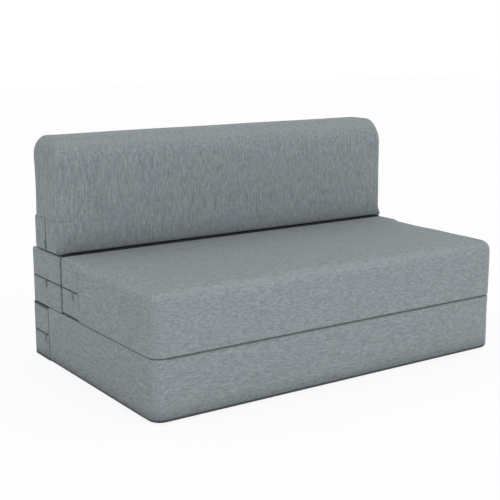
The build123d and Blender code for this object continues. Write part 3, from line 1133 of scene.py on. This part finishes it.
# %% [markdown]
# ## The zips
# A zip runs round the zipped end of each cover, in a slit between two rolled edges of cloth. A coil
# zip has two rows of small loops that grip each other, so the chain is made of short ribs in two
# rows, set half a pitch apart, on a dark woven tape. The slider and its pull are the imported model's
# own, with a paint close to the cloth's grey.
#
# The tape, the paint and the cloth under the base all have a fine grain, so it is one more group.

# %% Grain group
fine_grain, given, grain_out = new_group(
    "fine_grain",
    {"Place": "Vector", "Scale": "Float", "Detail": "Float", "Roughness": "Float"}
    | {"Dark": "Color", "Light": "Color"},
    {"Colour": "Color", "Height": "Float"},
)
inputs = {name: given[name] for name in ("Scale", "Detail", "Roughness")}
noise = add_node(fine_grain, "ShaderNodeTexNoise", inputs | {"Vector": given["Place"]}).outputs["Fac"]
colour = colour_between(fine_grain, noise, given["Dark"], given["Light"])
feed(fine_grain, grain_out, {"Colour": colour, "Height": noise})


def grain(tree, scale, detail, roughness, dark, light):
    """A fine grain on a piece, as a colour and a height."""
    patch = add_node(tree, "ShaderNodeGroup", {
        "Place": own_place(tree),
        "Scale": scale,
        "Detail": detail,
        "Roughness": roughness,
        "Dark": dark,
        "Light": light,
    }, node_tree=fine_grain)
    return patch.outputs["Colour"], patch.outputs["Height"]


print("fine_grain:", len(fine_grain.nodes), "nodes")

# %% Zip tape material
TAPE_DARK = (0.018, 0.021, 0.024, 1)
TAPE_LIGHT = (0.05, 0.056, 0.06, 1)
TAPE_ROUGHNESS = 0.6
TAPE_GRAIN = {"scale": 900, "detail": 1, "roughness": 0.5}
TAPE_STRENGTH = 0.3
TAPE_DEPTH = 0.2 * MM

zip_tape, tree, shader = new_material("zip_tape")
colour, height = grain(tree, **TAPE_GRAIN, dark=TAPE_DARK, light=TAPE_LIGHT)
feed(tree, shader, {
    "Base Color": colour,
    "Roughness": TAPE_ROUGHNESS,
    "Normal": raised(tree, height, TAPE_STRENGTH, TAPE_DEPTH),
})
print("tape:", zip_tape.name)

# %% Zip chains
RIB_PITCH = 2 * MM
RIB_BASE = (0.9 * MM, 1.1 * MM)
RIB_TOP = (0.55 * MM, 0.8 * MM)
RIB_FROM_MIDDLE = 0.85 * MM
RIB_FLOOR = 1.5 * MM
RIB_SUNK = 0.5 * MM
RIB_CORNERS = np.array([(-1, -1), (1, -1), (1, 1), (-1, 1)]) / 2
RIB_FACES = np.array([(3, 2, 1, 0), (4, 5, 6, 7), (0, 1, 5, 4), (1, 2, 6, 5), (2, 3, 7, 6), (3, 0, 4, 7)])


def zip_path(cushion, places):
    """Points of the zip at places along it, with the ways along it and out of it, in x and l."""
    half_width, length, radius = cushion.size[0] / 2, cushion.size[1], cushion.end
    straight = length - radius - cushion.seam
    bend = math.pi / 2 * radius
    run = 2 * (half_width - radius)
    first, second, third, fourth = np.cumsum([straight, bend, run, bend])
    turned = np.clip((places - first) / radius, 0, math.pi / 2)
    turned = turned + np.clip((places - third) / radius, 0, math.pi / 2)
    along = np.stack([np.sin(turned), np.cos(turned)], axis=1)
    out = np.stack([-np.cos(turned), np.sin(turned)], axis=1)
    centre_x = radius - half_width + np.clip(places - second, 0, run)
    centre_l = cushion.seam + np.clip(places, 0, straight) - np.clip(places - fourth, 0, straight)
    spots = np.stack([centre_x, centre_l], axis=1) + radius * out
    return spots, along, out


def zip_ribs(cushion):
    """Two rows of ribs along a zip: their points in own axes, and their faces."""
    width, length = cushion.size[:2]
    total = 2 * (length - cushion.seam) + width - (4 - math.pi) * cushion.end
    middle = (cushion.zip_low + cushion.zip_high) / 2
    rib_points = []
    for row in (-1, 1):
        places = np.arange(RIB_PITCH * (0.5 + 0.25 * row), total - RIB_PITCH / 2, RIB_PITCH)
        spots, along, out = zip_path(cushion, places)
        layers = []
        for size, depth in ((RIB_BASE, RIB_FLOOR), (RIB_TOP, RIB_SUNK)):
            for a, b in RIB_CORNERS:
                flat = spots + along * (a * size[0]) - out * depth
                across = middle + row * RIB_FROM_MIDDLE + b * size[1]
                layers.append(np.column_stack([flat, np.full(len(places), across)]))
        rib_points.append(np.stack(layers, axis=1))
    ribs = np.concatenate(rib_points)
    starts = ribs.shape[1] * np.arange(len(ribs))
    return ribs.reshape(-1, 3), (starts[:, None, None] + RIB_FACES).reshape(-1, 4)


for cushion in CUSHIONS:
    own, faces = zip_ribs(cushion)
    name = cushion.name
    ribs = new_piece(f"{name}_zip_ribs", cushion.to_frame(own), faces)
    ribs.data.polygons.foreach_set("use_smooth", np.zeros(len(faces), bool))
    dress(ribs, name, "zip_coil", zip_tape)
    dress(tapes[name], name, "zip_coil", zip_tape, f"{name}_zip_chain")
    print(name, "zip:", len(faces) // len(RIB_FACES), "ribs")

# %% Painted metal
PAINT_DARK = (0.15, 0.172, 0.184, 1)
PAINT_LIGHT = (0.235, 0.262, 0.276, 1)
PAINT_ROUGHNESS = (0.35, 0.6)
PAINT_GRAIN = {"scale": 420, "detail": 3, "roughness": 0.7}
PAINT_STRENGTH = 0.15
PAINT_DEPTH = 0.1 * MM


def use_material(node, material):
    """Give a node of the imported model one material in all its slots."""
    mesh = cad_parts[node].data
    mesh.materials.clear()
    mesh.materials.append(material)


zip_paint, tree, shader = new_material("zip_paint")
colour, height = grain(tree, **PAINT_GRAIN, dark=PAINT_DARK, light=PAINT_LIGHT)
feed(tree, shader, {
    "Base Color": colour,
    "Roughness": rescaled(tree, height, *PAINT_ROUGHNESS),
    "Normal": raised(tree, height, PAINT_STRENGTH, PAINT_DEPTH),
})
for cushion in CUSHIONS:
    for part in ("slider", "pull", "stops"):
        use_material(f"{cushion.name}_zip_{part}", zip_paint)
print("paint:", zip_paint.name)

# %% [markdown]
# ## The hinges
# Strips of strong cloth join the cushions: one along the front edge between base and seat, one along
# the rear edge between base and rear block, and one in the angle between seat and backrest. Each is
# one sheet that reaches from the tab on one cushion to the tab on the other. The first two
# are a little darker than the covers, and the one in the angle is nearly black, as painted shade.

# %% Hinge cloth
FOLD_DARK = (0.085, 0.1, 0.107, 1)
FOLD_LIGHT = (0.165, 0.186, 0.196, 1)
# The strip in the angle is nearly black: a dark sheet that paints the shade in the angle between seat and
# backrest.
ANGLE_SHADOW_DARK = (0.005, 0.006, 0.006, 1)
ANGLE_SHADOW_LIGHT = (0.018, 0.02, 0.021, 1)
HINGE_CONTRAST = 0.2
fold_cloth = cloth_material("front_hinge_cloth", ACROSS, HINGE_CONTRAST, FOLD_DARK, FOLD_LIGHT, sheen=0)
angle_shadow_cloth = cloth_material("hinge_cloth", ACROSS, HINGE_CONTRAST, ANGLE_SHADOW_DARK, ANGLE_SHADOW_LIGHT, sheen=0)
print("hinge cloth:", fold_cloth.name, "and", angle_shadow_cloth.name)

# %% Hinge strips
HINGE_THICK = 0.6 * MM
ACROSS_POINTS = 45
STRAIGHT_POINTS = 8
BEND_POINTS = 9
CORNER_POINTS = 7


def hinge_strip(name, width, bodies, start, end, profile, nodes, material):
    """A strip of cloth along x with a profile of (y, z) points; bodies is not used."""
    across = np.linspace(-width / 2, width / 2, ACROSS_POINTS)
    profile = np.array(profile)
    count = len(profile)
    points = np.array([(x, y, z) for x in across for y, z in profile])
    corner = (count * np.arange(len(across) - 1)[:, None] + np.arange(count - 1)).ravel()
    faces = np.stack([corner, corner + count, corner + count + 1, corner + 1], axis=1)
    strip = new_piece(name, points, faces)
    carry_cloth(strip, 0)
    thicken(strip, HINGE_THICK, 0)
    strip.data.materials.append(material)
    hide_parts(*nodes)
    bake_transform(strip)


def straight_run(start, end):
    """Evenly spaced (y, z) points from one to another."""
    return [tuple(p) for p in np.linspace(start, end, STRAIGHT_POINTS)]


def fold_profile(low_box, high_box, turn):
    """A strip between two tabs, one above the other, round a fold at y = turn."""
    inner = low_box[0].y if abs(low_box[0].y) < abs(low_box[1].y) else low_box[1].y
    low = (low_box[0].z + low_box[1].z) / 2
    high = (high_box[0].z + high_box[1].z) / 2
    reach = (high - low) / 2
    edge = turn - math.copysign(reach, turn)
    bend = []
    for angle in np.linspace(-math.pi / 2, math.pi / 2, BEND_POINTS):
        out = math.copysign(reach * math.cos(angle), turn)
        bend.append((edge + out, (low + high) / 2 + reach * math.sin(angle)))
    return straight_run((inner, low), bend[0])[:-1] + bend + straight_run(bend[-1], (inner, high))[1:]


# %% Strips at the front and the rear
FRONT_FOLD = -379 * MM
REAR_FOLD = 379 * MM
FRONT_WIDTH = 1140 * MM
REAR_WIDTH = 1210 * MM
FOLDS = (
    ("front_hinge", "seat", "seat", FRONT_FOLD, FRONT_WIDTH),
    ("rear_hinge", "block", "rear_block", REAR_FOLD, REAR_WIDTH),
)
for name, other, body, turn, width in FOLDS:
    nodes = (f"{name}_base_tab", f"{name}_{other}_tab")
    profile = fold_profile(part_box(nodes[0]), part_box(nodes[1]), turn)
    low, high = profile[0][1], profile[-1][1]
    ends = ((turn, low), (turn, high))
    hinge_strip(f"{name}_strip", width, ("base", body), *ends, profile, nodes, fold_cloth)

# %% Strip in the angle
CORNER = 1.6 * MM

nodes = ("back_hinge_seat_tab", "back_hinge_backrest_tab")
seat_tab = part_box(nodes[0])
back_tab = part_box(nodes[1])
up_y = (seat_tab[0].y + seat_tab[1].y) / 2
flat_z = (back_tab[0].z + back_tab[1].z) / 2
start, end = (up_y, flat_z - CORNER), (up_y + CORNER, flat_z)
profile = straight_run((up_y, seat_tab[0].z), start)
for angle in np.linspace(0, math.pi / 2, CORNER_POINTS)[1:]:
    side = CORNER * (1 - math.cos(angle))
    profile.append((up_y + side, flat_z - CORNER + CORNER * math.sin(angle)))
profile += straight_run(profile[-1], (back_tab[1].y, flat_z))[1:]
hinge_strip("back_hinge_strip", REAR_WIDTH, ("seat", "backrest"), start, end, profile, nodes, angle_shadow_cloth)

# %% [markdown]
# ## The underside
# The base lies on a panel of dark cloth with small rubbery dots, so that it does not slide. The panel
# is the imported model's own; the dots are a square grid of cells in its material.

# %% Non-slip cloth
PANEL_DARK = (0.02, 0.02, 0.022, 1)
PANEL_LIGHT = (0.06, 0.06, 0.065, 1)
PANEL_GRAIN = {"scale": 700, "detail": 2, "roughness": 0.5}
PANEL_ROUGHNESS = (0.95, 0.45)
DOT_COLOUR = (0.09, 0.09, 0.095, 1)
DOT_PITCH = 9 * MM
DOT_SIZE = 0.3
DOT_EDGE = 0.08
DOT_STRENGTH = 0.8
DOT_HEIGHT = 0.6 * MM

non_slip, tree, shader = new_material("non_slip_cloth")
inputs = {"Vector": own_place(tree), "Scale": 1 / DOT_PITCH, "Randomness": 0}
cells = add_node(tree, "ShaderNodeTexVoronoi", inputs).outputs["Distance"]
inputs = {"Value": cells, "From Min": DOT_SIZE, "From Max": DOT_SIZE - DOT_EDGE}
dots = add_node(tree, "ShaderNodeMapRange", inputs).outputs[0]
colour, _ = grain(tree, **PANEL_GRAIN, dark=PANEL_DARK, light=PANEL_LIGHT)
feed(tree, shader, {
    "Base Color": colour_between(tree, dots, colour, DOT_COLOUR),
    "Roughness": rescaled(tree, dots, *PANEL_ROUGHNESS),
    "Normal": raised(tree, dots, DOT_STRENGTH, DOT_HEIGHT),
})
use_material("base_underside", non_slip)
print("dots:", DOT_PITCH / MM, "mm apart")
